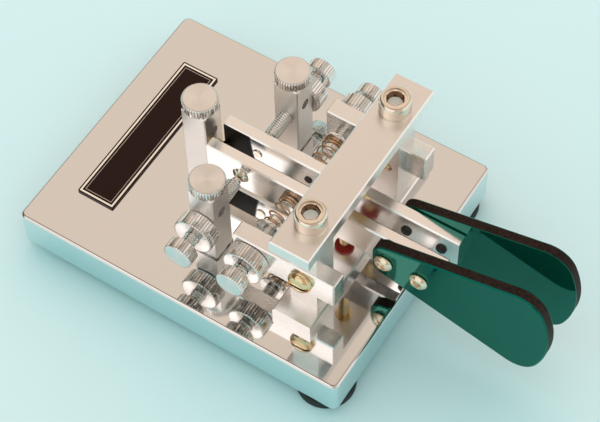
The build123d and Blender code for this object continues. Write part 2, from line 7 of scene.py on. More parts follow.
import bmesh
import bpy
import numpy as np
from mathutils import Matrix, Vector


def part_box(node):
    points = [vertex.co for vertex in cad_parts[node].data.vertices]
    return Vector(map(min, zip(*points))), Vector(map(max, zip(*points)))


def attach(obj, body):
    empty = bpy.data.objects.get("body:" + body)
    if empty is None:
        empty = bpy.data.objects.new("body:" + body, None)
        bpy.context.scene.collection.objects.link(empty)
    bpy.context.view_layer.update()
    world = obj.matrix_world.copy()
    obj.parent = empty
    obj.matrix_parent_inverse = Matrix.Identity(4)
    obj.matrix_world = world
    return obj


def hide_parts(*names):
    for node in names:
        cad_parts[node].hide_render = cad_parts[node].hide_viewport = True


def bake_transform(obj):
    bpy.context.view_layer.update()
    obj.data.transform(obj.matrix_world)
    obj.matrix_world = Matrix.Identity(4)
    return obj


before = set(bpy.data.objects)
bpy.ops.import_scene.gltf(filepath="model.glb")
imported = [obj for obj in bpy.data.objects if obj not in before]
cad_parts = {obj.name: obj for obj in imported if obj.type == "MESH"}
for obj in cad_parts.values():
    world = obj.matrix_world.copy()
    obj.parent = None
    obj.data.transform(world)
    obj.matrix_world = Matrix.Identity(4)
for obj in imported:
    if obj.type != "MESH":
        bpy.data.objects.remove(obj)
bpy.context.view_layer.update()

# Rubber feet
# Four moulded rubber discs, one under each corner, each held by a pan-headed screw sunk in its middle.
# The rim is well rounded below, and the faces keep the fine pores of the mould.
MM = 0.001


class Field:
    """An output socket of a node tree. Arithmetic adds Math nodes, and node() adds any other."""

    def __init__(self, tree, socket=None):
        self.tree, self.socket = tree, socket

    def node(self, kind, settings=None, inputs=None, output=0):
        """A new node: its settings first, then values or links for its sockets; gives one output."""
        made = self.tree.nodes.new(kind)
        for name, value in (settings or {}).items():
            setattr(made, name, value)
        for place, value in (inputs or {}).items():
            if isinstance(value, Field):
                self.tree.links.new(value.socket, made.inputs[place])
            else:
                made.inputs[place].default_value = value
        return Field(self.tree, made.outputs[output] if len(made.outputs) else None)

    def maths(self, operation, *operands):
        """A Math node on these operands."""
        return self.node("ShaderNodeMath", {"operation": operation}, dict(enumerate(operands)))

    def __add__(self, other):
        return self.maths("ADD", self, other)

    def __sub__(self, other):
        return self.maths("SUBTRACT", self, other)

    def __rsub__(self, other):
        return self.maths("SUBTRACT", other, self)

    def __mul__(self, other):
        return self.maths("MULTIPLY", self, other)

    __radd__ = __add__
    __rmul__ = __mul__

    def part(self, axis):
        """One of the three numbers of a vector."""
        return self.node("ShaderNodeSeparateXYZ", None, {"Vector": self}, axis)

    def along(self, direction):
        """How far a vector points along a direction."""
        return self.node("ShaderNodeVectorMath", {"operation": "DOT_PRODUCT"}, {0: self, 1: direction}, 1)

    def step(self, low, high):
        """0 below low and 1 above high, with a smooth rise between."""
        ends = {"Value": self, "From Min": low, "From Max": high}
        return self.node("ShaderNodeMapRange", {"interpolation_type": "SMOOTHSTEP"}, ends)

    def band(self, middle, half):
        """1 within half of middle, falling to 0 just outside it."""
        return 1 - self.maths("ABSOLUTE", self - middle).step(0.75 * half, 1.25 * half)

    def grain(self, scale, detail=2.0, stretch=(1.0, 1.0, 1.0)):
        """Noise with features 1/scale metres wide, longer along an axis whose stretch is small."""
        placed = self.node("ShaderNodeMapping", None, {"Vector": self, "Scale": stretch})
        return self.node("ShaderNodeTexNoise", None, {"Vector": placed, "Scale": scale, "Detail": detail})

    def mix(self, low, high):
        """The colour low where this field is 0, and high where it is 1."""
        return self.node("ShaderNodeMix", {"data_type": "RGBA"}, {0: self, 6: low, 7: high}, 2)

    def relief(self, depth):
        """A normal that follows this field as a height, depth metres from 0 to 1."""
        return self.node("ShaderNodeBump", None, {"Height": self, "Distance": depth, "Strength": 1.0})


def shown(red, green, blue):
    """The linear colour that shows as these three numbers, each 0 to 255."""
    share = np.array((red, green, blue)) / 255
    linear = np.where(share <= 0.04045, share / 12.92, ((share + 0.055) / 1.055) ** 2.4)
    return (*linear.tolist(), 1.0)


def new_finish(name):
    """A new material, and the Object coordinates that its pattern starts from."""
    material = bpy.data.materials.new(name)
    material.use_nodes = True
    material.node_tree.nodes.clear()
    return material, Field(material.node_tree).node("ShaderNodeTexCoord", None, None, "Object")


def shade(place, sockets, share=0.0, others=None):
    """Ends a finish with a Principled shader that has these sockets. Where share is 1 the surface has
    the other sockets instead."""
    shader = place.node("ShaderNodeBsdfPrincipled", None, sockets)
    if others:
        second = place.node("ShaderNodeBsdfPrincipled", None, others)
        shader = place.node("ShaderNodeMixShader", None, {0: share, 1: shader, 2: second})
    place.node("ShaderNodeOutputMaterial", None, {"Surface": shader})


def dress(finish, *nodes):
    """Gives CAD nodes whose shape is right their finish."""
    for name in nodes:
        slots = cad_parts[name].data.materials
        slots.clear()
        slots.append(finish)


def finished(piece, finish, body, sharp=32.0):
    """Merges doubled points, turns the faces outwards, shades them smooth up to sharp degrees and
    fixes the piece to its body, if it has only one."""
    shape = bmesh.new()
    shape.from_mesh(piece.data)
    bmesh.ops.remove_doubles(shape, verts=shape.verts, dist=1e-7)
    bmesh.ops.recalc_face_normals(shape, faces=shape.faces)
    shape.to_mesh(piece.data)
    shape.free()
    piece.data.shade_smooth()
    piece.data.set_sharp_from_angle(angle=math.radians(sharp))
    piece.data.materials.append(finish)
    if body:
        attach(piece, body)


def skin(name, points, ring=None):
    """A mesh over a grid of points [row, column, xyz] whose columns close into a ring: each square of
    four neighbours is a face. ring, a number for each point, is kept for the finish to read."""
    rows, columns = points.shape[:2]
    index = np.arange(rows * columns).reshape(rows, columns)
    index = np.hstack([index, index[:, :1]])
    squares = np.stack([index[:-1, :-1], index[:-1, 1:], index[1:, 1:], index[1:, :-1]], axis=-1)
    mesh = bpy.data.meshes.new(name)
    mesh.from_pydata(points.reshape(-1, 3), [], squares.reshape(-1, 4))
    if ring is not None:
        kept = mesh.attributes.new("ring", "FLOAT", "POINT")
        kept.data.foreach_set("value", np.ascontiguousarray(ring, np.float32).ravel())
    piece = bpy.data.objects.new(name, mesh)
    bpy.context.scene.collection.objects.link(piece)
    return piece


def turned(name, along, radii, start, axis, phase=0.0):
    """A surface turned about an axis: row i is along[i] beyond start, and its point at angle t is
    radii[i, t] out, start + along * axis + radius * (cos t * across + sin t * up). Millimetres."""
    axis = np.array(axis, float)
    across = np.roll(np.abs(axis), 1)
    up = np.cross(axis, across)
    columns = radii.shape[1]
    turn = phase + 2 * np.pi * np.arange(columns) / columns
    outward = np.cos(turn)[:, None] * across + np.sin(turn)[:, None] * up
    along = np.broadcast_to(np.reshape(along, (len(radii), -1)), radii.shape)
    points = np.array(start) + MM * (along[..., None] * axis + radii[..., None] * outward)
    return skin(name, points, MM * radii)


def eased(corners, reach=0.2, steps=3):
    """A profile whose inner corners are rounded: each becomes the curve (1-t)^2 a + 2t(1-t) c + t^2 b,
    where a and b lie up to reach before and after the corner c."""
    corners = np.array(corners, float)
    before, corner, after = corners[:-2, None], corners[1:-1, None], corners[2:, None]
    t = np.linspace(0, 1, steps + 1)[None, :, None]

    def near(end):
        run = np.linalg.norm((end - corner)[..., :2], axis=-1, keepdims=True)
        return corner + (end - corner) * np.minimum(reach / run, 0.45)

    curve = (1 - t) ** 2 * near(before) + 2 * t * (1 - t) * corner + t ** 2 * near(after)
    return np.vstack([corners[:1], curve.reshape(-1, corners.shape[1]), corners[-1:]])


def lathe(name, corners, start, axis, reach=0.2, columns=72):
    """A plain turned piece with eased corners (along, radius)."""
    profile = eased(corners, reach)
    return turned(name, profile[:, 0], np.repeat(profile[:, 1:2], columns, axis=1), start, axis)


def inner_end(node, axis):
    """Where a turned CAD node starts: the middle of its end face on the side that axis comes from."""
    low, high = (np.array(corner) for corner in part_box(node))
    return (low + high) / 2 - np.array(axis) * np.abs(np.array(axis) @ (high - low)) / 2


def extent(node, axis):
    """The length of a CAD node's box along x, y or z (0, 1 or 2), in millimetres."""
    low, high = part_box(node)
    return (high[axis] - low[axis]) / MM


rubber, place = new_finish("moulded_rubber")
pores = place.grain(2600, 3)
shade(place, {
    "Base Color": place.grain(300).mix(shown(16, 24, 24), shown(34, 42, 41)),
    "Roughness": 0.62 + 0.2 * pores,
    "Normal": pores.relief(0.00003),
})
FOOT_POCKET = 3.3
FOOT_HOLE = 2.2
FOOT_POCKET_DEPTH = 2.0
for corner in ("front_left", "front_right", "rear_left", "rear_right"):
    node = f"rubber_foot_{corner}"
    rim = extent(node, 0) / 2
    height = extent(node, 2)
    land = (rim + FOOT_POCKET) / 2
    profile = [(0, land), (0, rim), (height, rim), (height, FOOT_HOLE), (FOOT_POCKET_DEPTH, FOOT_HOLE),
               (FOOT_POCKET_DEPTH, FOOT_POCKET), (0, FOOT_POCKET), (0, land)]
    foot = lathe(f"foot_{corner}", profile, inner_end(node, (0, 0, 1)), (0, 0, 1), 0.6)
    finished(foot, rubber, "base")
    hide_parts(node)

steel, place = new_finish("zinc_plated_steel")
shade(place, {
    "Base Color": shown(176, 176, 178),
    "Metallic": 1.0,
    "Roughness": 0.3 + 0.15 * place.grain(1500),
    "Normal": place.grain(900).relief(0.00001),
})
dress(steel, "foot_screws", "frame_screws", "post_screws")

# Base plate
# A heavy slab with small rounded edges, ground flat, polished and chrome plated to a mirror.
# The polish leaves very slight waves and a few hairlines, which run along the slab. The sides carry a
# painted reflection: their chrome is tinted bluer than the top's, for the shaded blue-green floor they
# reflect.
CHROME = (0.80, 0.80, 0.79, 1.0)
SIDE_CHROME_PAINTED_TEAL = (0.66, 0.82, 0.84, 1.0)
SIDES_END = 0.0139
TOP_START = 0.0142
mirror, place = new_finish("polished_chrome")
waves = place.grain(90, 1)
hairlines = place.grain(2500, 2, (1.0, 0.03, 1.0)).step(0.66, 0.8)
# Below the top the chrome takes a blue-green tint, a painted reflection of the shaded floor.
top_not_tinted = place.part(2).step(SIDES_END, TOP_START)
shade(place, {
    "Base Color": top_not_tinted.mix(SIDE_CHROME_PAINTED_TEAL, CHROME),
    "Metallic": 1.0,
    "Roughness": 0.035 + 0.03 * place.grain(140) + 0.12 * hairlines,
    "Normal": waves.relief(0.000006),
})
dress(mirror, "base_plate")

# Nameplate
# A thin enamelled plate stuck across the rear of the base. It is left bare inside its border:
# a cream line near the edge and a fine rule inside that.
BORDER_FROM_EDGE = 0.00065
BORDER_HALF_WIDTH = 0.00025
RULE_FROM_EDGE = 0.0016
RULE_HALF_WIDTH = 0.00006
RULE_STRENGTH = 0.7
low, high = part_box("nameplate")
enamel, place = new_finish("dark_enamel_with_cream_border")
half_width, half_depth = (high.x - low.x) / 2, (high.y - low.y) / 2
across_plate = place.part(0) - (low.x + high.x) / 2
from_end = half_width - across_plate.maths("ABSOLUTE", across_plate)
along_plate = place.part(1) - (low.y + high.y) / 2
from_side = half_depth - along_plate.maths("ABSOLUTE", along_plate)
from_edge = from_end.maths("MINIMUM", from_end, from_side)
border = from_edge.band(BORDER_FROM_EDGE, BORDER_HALF_WIDTH)
lines = border + RULE_STRENGTH * from_edge.band(RULE_FROM_EDGE, RULE_HALF_WIDTH)
shade(place, {
    "Base Color": lines.mix(shown(36, 14, 9), shown(250, 226, 202)),
    "Roughness": 0.2 + 0.12 * place.grain(600),
    "Normal": lines.relief(0.00003),
    "Specular IOR Level": 0.15,
})
dress(enamel, "nameplate")

# Pivot plate and bridge
# Two ground bars that lie across the key, plated to a satin. The grinding lines run along them.
SATIN = (0.98, 0.955, 0.935, 1.0)


def satin(place, stretch, rough):
    """Satin chrome on a ground bar: fine lines, long along the axis whose stretch is small."""
    lines = place.grain(7500, 2, stretch)
    return {
        "Base Color": SATIN,
        "Metallic": 1.0,
        "Roughness": rough + 0.05 * lines + 0.05 * place.grain(220),
        "Normal": lines.relief(0.0000007),
    }


across_bars, place = new_finish("satin_chrome_across")
shade(place, satin(place, (0.03, 1.0, 1.0), 0.26))
dress(across_bars, "bridge")
plate_bar, place = new_finish("satin_chrome_plate")
shade(place, satin(place, (0.03, 1.0, 1.0), 0.25))
dress(plate_bar, "pivot_plate")

# Pillars and posts
# Square bars that stand on the plate and on the base, with the grinding lines upright.
upright, place = new_finish("satin_chrome_upright")
shade(place, satin(place, (1.0, 1.0, 0.03), 0.30))
dress(upright, "pillar_left", "pillar_right", "contact_post_left", "contact_post_right", "common_post")

# Side rails and levers
# Flat bars that run from front to back; the levers stand on edge between the rails. Behind the
# contacts, the faces that the levers turn to each other are coloured near black, with a slanted front edge.
lengthwise, place = new_finish("satin_chrome_lengthwise")
shade(place, satin(place, (1.0, 0.03, 1.0), 0.22))
dress(lengthwise, "rail_left", "rail_right")
# The inner faces turn near black from just behind the contacts to the rear.
BLACK_START = 0.0012
BLACK_SLANT = 0.15
lever_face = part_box("lever_right")[0].x
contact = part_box("lever_contact_right")
satin_and_black, place = new_finish("satin_chrome_and_black")
from_middle = place.part(0).maths("ABSOLUTE", place.part(0))
slant = place.part(1) - BLACK_SLANT * place.part(2) + 0.0003 * place.grain(900)
contact_y, contact_z = (contact[0].y + contact[1].y) / 2, (contact[0].z + contact[1].z) / 2
start = contact_y + BLACK_START - BLACK_SLANT * contact_z
inner_face = 1 - from_middle.step(lever_face + 0.0001, lever_face + 0.0002)
black = inner_face * slant.step(start, start + 0.0008)
shade(place, satin(place, (1.0, 0.03, 1.0), 0.12), black, {
    "Base Color": place.grain(400).mix((0.006, 0.006, 0.006, 1.0), (0.014, 0.013, 0.012, 1.0)),
    "Roughness": 0.45 + 0.1 * place.grain(1500),
    "Specular IOR Level": 0.25,
    "Normal": place.grain(1500).relief(0.00001),
})
dress(satin_and_black, "lever_left", "lever_right")

# Post insulators
# Turned bushes of pale nylon, whose flanges keep the two contact posts clear of the base.
nylon, place = new_finish("natural_nylon")
shade(place, {
    "Base Color": place.grain(700, 3).mix(shown(188, 176, 164), shown(206, 197, 186)),
    "Roughness": 0.4 + 0.15 * place.grain(2500),
    "Normal": place.grain(2200, 3).relief(0.00001),
})
dress(nylon, "post_insulators")

# Bridge screws
# Hexagon socket cap screws, pale gold plated, down through the bridge into the pillars. The head's side
# is finely knurled, its rim is rounded and the socket's mouth is chamfered. The socket's walls are
# painted dark brown as painted shade, and its bottom is dull.
RING_WIDTH = 0.00016


def scaled(colour, factor):
    """A colour made darker or lighter by a factor."""
    return (*(factor * share for share in colour[:3]), 1.0)


def turning(place):
    """How far a turned surface is from its axis, and the fine rings that the tool leaves, from 0 to 1."""
    ring = place.node("ShaderNodeAttribute", {"attribute_name": "ring"}, None, "Fac")
    return ring, ring.maths("SINE", ring * (2 * math.pi / RING_WIDTH)) * 0.5 + 0.5


def plated(name, tint, rough, rings_deep=0.000003):
    """Bright plating on a turned piece, with fine turning rings on its faces."""
    material, place = new_finish(name)
    rings = turning(place)[1]
    shade(place, {
        "Base Color": place.grain(500).mix(tint, scaled(tint, 0.93)),
        "Metallic": 1.0,
        "Roughness": rough + 0.05 * place.grain(900),
        "Normal": rings.relief(rings_deep),
    })
    return material


def middle(node):
    """The middle of a CAD node's box."""
    low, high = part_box(node)
    return (low + high) / 2


PALE_GOLD = (0.92, 0.82, 0.69, 1.0)
SOCKET_PAINTED_SHADE = (0.26, 0.15, 0.085, 1.0)
pale_gold, place = new_finish("pale_gold_plate")
ring, rings = turning(place)
# The socket's walls are painted dark brown: painted shade inside the recess.
wall = ring.step(0.00194, 0.00200) * (1 - ring.step(0.00230, 0.00236))
shade(place, {
    "Base Color": wall.mix(PALE_GOLD, SOCKET_PAINTED_SHADE),
    "Metallic": ring.step(0.00188, 0.00196),
    "Roughness": 0.1 + 0.05 * place.grain(900) + 0.25 * (1 - ring.step(0.0019, 0.0020)),
    "Normal": rings.relief(0.000003),
})
SHANK = 2.5
KNURL_DEPTH = 0.05
SOCKET_MOUTH = 2.9
HEX_APOTHEM = 2.0
SOCKET_DEPTH = 2.1
CAP_TEETH = 48
bridge_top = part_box("bridge")[1].z
head_height = (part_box("bridge_screws")[1].z - bridge_top) / MM
head_radius = extent("bridge_screws", 1) / 2
shank_length = head_height - extent("bridge_screws", 2)
for pillar, hand, corner_angle in ((-1, "left", math.radians(2.5)), (1, "right", math.radians(31.8))):
    centre = middle(f"pillar_{hand}")
    columns = 4 * CAP_TEETH
    profile = eased([
        (shank_length, 0, 0), (shank_length, SHANK, 0), (0, SHANK, 0), (0, head_radius - 0.3, 0),
        (0.4, head_radius, 1), (head_height - 1.0, head_radius, 1), (head_height - 0.75, head_radius, 0),
        (head_height, head_radius - 0.5, 0), (head_height, SOCKET_MOUTH + 0.2, 0),
        (head_height - 0.08, SOCKET_MOUTH, 0)], 0.35)
    tooth = np.abs(2 * (np.arange(columns) * CAP_TEETH / columns % 1) - 1)
    rim = profile[:, 1:2] - KNURL_DEPTH * profile[:, 2:3] * tooth
    from_corner = 2 * np.pi * np.arange(columns) / columns % (np.pi / 3)
    hexagon = HEX_APOTHEM / np.cos(np.pi / 6 - from_corner)
    socket = np.stack([hexagon + 0.3, hexagon + 0.05, hexagon, hexagon, 0.5 * hexagon, 0 * hexagon])
    fall = head_height - np.array([0.08, 0.3, 0.45, SOCKET_DEPTH, SOCKET_DEPTH + 0.25, SOCKET_DEPTH + 0.5])
    head = turned(f"cap_screw_{hand}", np.hstack([profile[:, 0], fall]), np.vstack([rim, socket]),
                  (centre.x, centre.y, bridge_top), (0, 0, 1), corner_angle)
    finished(head, pale_gold, "base")
    if pillar < 0:
        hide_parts("bridge_screws")

# Rail screws
# Slotted heads with a domed face that hold each rail in its pillar, in a deeper gold plate.


def cut(piece, tool):
    """Cuts one closed tool out of a piece and throws the tool away."""
    modifier = piece.modifiers.new("cut", "BOOLEAN")
    modifier.object = tool
    modifier.solver = "EXACT"
    bpy.context.view_layer.update()
    whole = piece.evaluated_get(bpy.context.evaluated_depsgraph_get())
    piece.data = bpy.data.meshes.new_from_object(whole)
    piece.modifiers.clear()
    bpy.data.objects.remove(tool)


def bar(name, low, high):
    """A closed block between two corners."""
    made = bmesh.new()
    bmesh.ops.create_cube(made, size=1.0)
    mesh = bpy.data.meshes.new(name)
    made.to_mesh(mesh)
    made.free()
    block = bpy.data.objects.new(name, mesh)
    low, high = np.array(low), np.array(high)
    block.location, block.scale = (low + high) / 2, high - low
    bpy.context.scene.collection.objects.link(block)
    return block


deep_gold = plated("deep_gold_plate", (0.90, 0.70, 0.42, 1.0), 0.1)
SIDES = ((-1.0, "left"), (1.0, "right"))
RAIL_SHANK = 2.0
RAIL_SHANK_LENGTH = 8.5
SLOT_WIDTH = 0.9
SLOT_DEPTH = 1.2
for side, hand in SIDES:
    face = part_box(f"rail_{hand}")[0 if side < 0 else 1].x
    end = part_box("rail_screws")[0 if side < 0 else 1].x
    height = abs(end - face) / MM
    radius = extent("rail_screws", 2) / 2
    start = (face, middle(f"pillar_{hand}").y, middle(f"rail_{hand}").z)
    screw = lathe(f"rail_screw_{hand}", [
        (-RAIL_SHANK_LENGTH, 0), (-RAIL_SHANK_LENGTH, RAIL_SHANK), (0, RAIL_SHANK), (0, radius - 0.15),
        (0.4, radius), (0.45 * height, radius), (0.8 * height, 0.82 * radius), (height, 0.5 * radius),
        (height, 0)], start, (side, 0, 0), 0.8)
    slot_floor = end - side * SLOT_DEPTH * MM
    ends = sorted((slot_floor, end + side * MM))
    half = SLOT_WIDTH / 2 * MM
    tool = bar("slot_tool", (ends[0], start[1] - 2 * radius * MM, start[2] - half),
               (ends[1], start[1] + 2 * radius * MM, start[2] + half))
    cut(screw, tool)
    finished(screw, deep_gold, "base")
    if side < 0:
        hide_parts("rail_screws")

# Pivots
# Brass shafts carry the levers between bushes in the plate and the bridge. Each turns on a washer of
# red vulcanised fibre on the plate.
brass = plated("bright_brass", (0.80, 0.60, 0.31, 1.0), 0.16)
dress(brass, "pivot_bushes", "pivot_shaft_left", "pivot_shaft_right", "stop_peg")
red_fibre, place = new_finish("red_fibre")
shade(place, {
    "Base Color": place.grain(1500, 3).mix(shown(138, 8, 5), shown(172, 20, 10)),
    "Roughness": 0.38 + 0.15 * place.grain(2200),
    "Normal": place.grain(1800, 3).relief(0.00002),
})
dress(red_fibre, "pivot_washers")

# Finger pieces
# Flat plates of polished black acrylic, sawn to shape. The flat faces carry a painted reflection: a dark
# blue-green colour and a blue-green tinted, half metallic gloss stand in for the blue-green floor they
# reflect. The sawn edge is duller and shows a warm dark brown.
# The blue-green base colour and gloss tint are a painted reflection of the floor on black acrylic.
ACRYLIC_PAINTED_TEAL = (0.0004, 0.070, 0.046, 1.0)
PAINTED_TEAL_GLOSS = (0.02, 1.0, 0.82, 1.0)
SAWN_DARK = (0.004, 0.0015, 0.0008, 1.0)
SAWN_PALE = (0.030, 0.012, 0.006, 1.0)
for side, hand in SIDES:
    low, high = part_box(f"finger_piece_{hand}")
    inner = low.x if side > 0 else high.x
    acrylic, place = new_finish(f"black_acrylic_{hand}")
    depth_in = (place.part(0) - inner) * side
    edge = depth_in.step(0.0001, 0.0003) * (1 - depth_in.step(0.0025, 0.0028))
    sawn = place.grain(2200, 3, (0.6, 1.0, 1.0))
    shade(place, {
        "Base Color": place.grain(40).mix(ACRYLIC_PAINTED_TEAL, scaled(ACRYLIC_PAINTED_TEAL, 1.1)),
        "Metallic": 0.5,
        "Roughness": 0.03 + 0.03 * place.grain(200),
        "Normal": place.grain(60, 1).relief(0.000006),
        "IOR": 1.9,
        "Specular Tint": PAINTED_TEAL_GLOSS,
    }, edge, {
        "Base Color": sawn.step(0.35, 0.65).mix(SAWN_DARK, SAWN_PALE),
        "Roughness": 0.45 + 0.3 * sawn,
        "Normal": sawn.relief(0.00006),
        "Specular IOR Level": 0.2,
    })
    dress(acrylic, f"finger_piece_{hand}")

# Finger screws
# Gold plated pan heads with a cross recess, two to each finger piece. Their tails, which just
# come through the lever into the gap between the levers, are painted dark as painted shade.
FINGER_SHANK = 1.5
SHANK_TIP = 1.2
CROSS_REACH = 1.45
CROSS_HALF = 0.36


def shade_tailed(name, tint):
    """Bright plating, painted dark as painted shade on what lies between the levers."""
    material, place = new_finish(name)
    from_middle = place.part(0).maths("ABSOLUTE", place.part(0))
    tail = 1 - from_middle.step(lever_face, lever_face + 0.0002)
    shade(place, {
        "Base Color": place.grain(500).mix(tint, scaled(tint, 0.93)),
        "Metallic": 1.0,
        "Roughness": 0.1 + 0.05 * place.grain(900),
        "Normal": place.grain(1200).relief(0.000003),
    }, tail, {
        "Base Color": (0.02, 0.018, 0.015, 1.0),
        "Roughness": 0.35 + 0.2 * place.grain(1500),
    })
    return material


gold_screw = shade_tailed("gold_head_shaded_tail", (0.92, 0.80, 0.62, 1.0))
for side, hand in SIDES:
    low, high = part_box(f"finger_screws_{hand}")
    radius = (high.z - low.z) / 2 / MM
    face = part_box(f"finger_piece_{hand}")[0 if side < 0 else 1].x
    height = abs((low.x if side < 0 else high.x) - face) / MM
    tail = extent(f"finger_screws_{hand}", 0) - height
    columns = 96
    turn = 2 * np.pi * np.arange(columns) / columns
    from_arm = np.abs((turn + np.pi / 4) % (np.pi / 2) - np.pi / 4)
    cross = np.minimum(CROSS_REACH, CROSS_HALF / np.sin(np.maximum(from_arm, 0.01)))
    dome = eased([
        (-tail, 0), (-tail, SHANK_TIP), (0.4 - tail, FINGER_SHANK), (0, FINGER_SHANK), (0, radius - 0.1),
        (0.3, radius), (0.75, radius - 0.15), (height - 0.15, 0.72 * radius), (height, 0.6 * radius)], 0.4)
    recess = np.stack([cross + 0.06, cross, 0.8 * cross, 0 * cross])
    fall = height - np.array([0.0, 0.08, 0.85, 1.1])
    for count, y in enumerate((low.y + radius * MM, high.y - radius * MM)):
        screw = turned(f"finger_screw_{hand}_{count}", np.hstack([dome[:, 0], fall]),
                       np.vstack([np.repeat(dome[:, 1:2], columns, axis=1), recess]),
                       (face, y, (low.z + high.z) / 2), (side, 0, 0), 0.6 + 0.5 * count)
        finished(screw, gold_screw, f"lever_{hand}")
        if count == 0:
            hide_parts(f"finger_screws_{hand}")

# Contacts
# A domed rivet in each lever meets a bright button on the end of the contact screw.
bright, place = new_finish("bright_nickel")
shade(place, {
    "Base Color": (0.84, 0.83, 0.80, 1.0),
    "Metallic": 1.0,
    "Roughness": 0.08 + 0.06 * place.grain(900),
    "Normal": place.grain(700).relief(0.000004),
})
rivet_finish = plated("rivet_plate", (0.88, 0.80, 0.68, 1.0), 0.08)
STEM_RADIUS = 1.4
STEM_PROUD = 0.3
for side, hand in SIDES:
    node = f"lever_contact_{hand}"
    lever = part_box(f"lever_{hand}")
    thickness = (lever[1].x - lever[0].x) / MM
    radius = extent(node, 2) / 2
    rise = extent(node, 0) - thickness - STEM_PROUD
    bend = (radius ** 2 + rise ** 2) / (2 * rise)
    angles = np.linspace(math.asin(radius / bend), 0, 12)
    under = thickness + STEM_PROUD
    stem = np.array([(-under, 0), (-under, STEM_RADIUS - 0.2), (0.2 - under, STEM_RADIUS), (0, STEM_RADIUS)])
    crown = np.stack([rise - bend * (1 - np.cos(angles)), bend * np.sin(angles)], axis=1)
    profile = np.vstack([stem, crown])
    face = lever[0 if side < 0 else 1].x
    at = middle(node)
    rivet = turned(f"contact_rivet_{hand}", profile[:, 0], np.repeat(profile[:, 1:2], 64, axis=1),
                   (face, at.y, at.z), (side, 0, 0))
    finished(rivet, rivet_finish, f"lever_{hand}")
    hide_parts(node)
    node = f"contact_tip_{hand}"
    length, radius = extent(node, 0), extent(node, 2) / 2
    tip = lathe(f"contact_button_{hand}", [(0, 0), (0, radius), (length, radius), (length, 0)],
                inner_end(node, (side, 0, 0)), (side, 0, 0), 0.3)
    finished(tip, bright, f"contact_screw_{hand}")
    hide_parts(node)

# Adjusters
# Each contact and each spring has a threaded rod, with a knurled knob outside and a knurled nut that
# locks it against the post or rail. They are bright nickel, with fine turning rings on the ends.
turned_nickel = plated("turned_nickel", (0.90, 0.88, 0.86, 1.0), 0.08, 0.000006)


def thread(name, length, radius, pitch, start, axis, nose=(10.0, 0.0)):
    """A screw thread: at height h and angle t the radius is the crest's, less the depth times the
    distance of h / pitch - t / 2 pi from a whole number, doubled. nose = (radius, length) is its point."""
    columns = 36
    rows = int(length / pitch * 8)
    along = np.linspace(0, length, rows)[:, None]
    turn = np.arange(columns) / columns
    groove = np.abs(2 * ((along / pitch - turn) % 1) - 1)
    radii = radius - 0.55 * pitch * np.clip(1.25 * groove - 0.12, 0, 1)
    radii = np.minimum(radii, nose[0] + 1.5 * np.clip(along - nose[1], 0, None))
    along = np.vstack([along[:1], along, along[-1:]])
    ends = np.zeros((1, columns))
    return turned(name, along, np.vstack([ends, radii, ends]), start, axis)


def knurled(name, corners, teeth, depth, start, axis, finish, body, node):
    """A knurled piece from corners (along, radius, share of the knurl): its radius falls by depth times
    that share in each narrow V groove, and there are as many grooves as teeth round it."""
    profile = eased(corners, 0.12, 2)
    turn = np.arange(8 * teeth) / 8 % 1
    groove = np.clip(3 * np.abs(2 * turn - 1) - 2, 0, 1)
    radii = profile[:, 1:2] - depth * profile[:, 2:3] * groove
    piece = turned(name, profile[:, 0], radii, start, axis)
    finished(piece, finish, body, 28)
    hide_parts(node)


M4_PITCH = 0.7
M4_BORE = 2.06
NUT_TEETH = 44
NUT_GROOVE = 0.34
NUT_FACE = 3.6
KNOB_TEETH = 34
KNOB_GROOVE = 0.3
KNOB_BORE_DEPTH = 3.0
for side, hand in SIDES:
    axis = (side, 0, 0)
    for use in ("contact", "spring"):
        node = f"{use}_screw_{hand}"
        rod = thread(f"{use}_rod_{hand}", extent(node, 0), extent(node, 2) / 2, M4_PITCH,
                     inner_end(node, axis), axis)
        finished(rod, bright, node, 40)
        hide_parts(node)
        node = f"{use}_locknut_{hand}"
        length, rim = extent(node, 0), extent(node, 2) / 2
        knurled(f"{use}_nut_{hand}", [
            (length, NUT_FACE, 0), (length, rim - 0.5, 0), (length - 0.05, rim - 0.2, 0.6),
            (length - 0.3, rim, 1), (0.5, rim, 1), (0.05, rim - 0.4, 0.6), (0, rim - 0.6, 0),
            (0, M4_BORE, 0), (length, M4_BORE, 0), (length, NUT_FACE, 0)],
            NUT_TEETH, NUT_GROOVE, inner_end(node, axis), axis, turned_nickel, node, node)
        node = f"{use}_knob_{hand}"
        length, rim = extent(node, 0), extent(node, 2) / 2
        knurled(f"{use}_head_{hand}", [
            (KNOB_BORE_DEPTH, 0, 0), (KNOB_BORE_DEPTH, M4_BORE, 0), (0, M4_BORE, 0), (0, rim - 0.6, 0),
            (0.35, rim, 1), (length - 0.35, rim, 1), (length, rim - 0.45, 0.5), (length, rim - 0.75, 0),
            (length, 0, 0)],
            KNOB_TEETH, KNOB_GROOVE, inner_end(node, axis), axis, turned_nickel, node, node)

